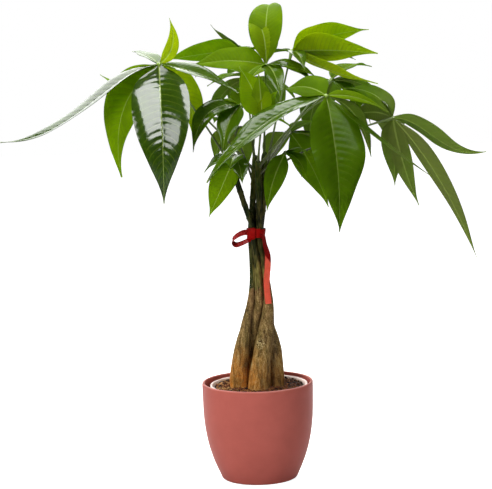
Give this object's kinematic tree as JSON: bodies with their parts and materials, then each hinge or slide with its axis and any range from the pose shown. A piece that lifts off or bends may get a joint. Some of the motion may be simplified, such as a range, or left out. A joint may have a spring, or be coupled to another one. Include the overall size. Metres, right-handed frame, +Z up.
{
  "type": "potted money tree",
  "caption": "House plant with wound slim trunks tied by a red ribbon, glossy palmate leaves, potting mix and a nursery pot inside a round glazed pot.",
  "frame": {"origin": "middle of the round pot's flat underside, on the surface that the plant stands on", "axes": "+Z is up, out of the soil; -Y faces the viewer of the picture; +X is the viewer's right"},
  "size_m": [0.5952, 0.322, 0.5966],
  "materials": {
    "pot_glaze": "satin",
    "white_plastic": "satin",
    "soil": "matte",
    "stem": "satin",
    "ribbon": "satin",
    "leaf": "gloss"
  },
  "bodies": {
    "root": {"pot": "pot_glaze", "nursery_pot": "white_plastic", "soil": "soil", "trunk_front": "stem", "trunk_right": "stem", "trunk_back_right": "stem", "trunk_back_left": "stem", "trunk_left": "stem", "ribbon": "ribbon", "leaf_far_left": "leaf", "leaf_upper_left": "leaf", "leaf_top": "leaf", "leaf_upper_right": "leaf", "leaf_front_right": "leaf", "leaf_far_right": "leaf", "leaf_centre": "leaf", "leaf_centre_left": "leaf", "leaf_low_left": "leaf", "leaf_low_right": "leaf", "leaf_back_left": "leaf", "leaf_back": "leaf", "leaf_back_right": "leaf", "leaf_low_back": "leaf", "leaf_low_back_left": "leaf"}
  },
  "joints": []
}
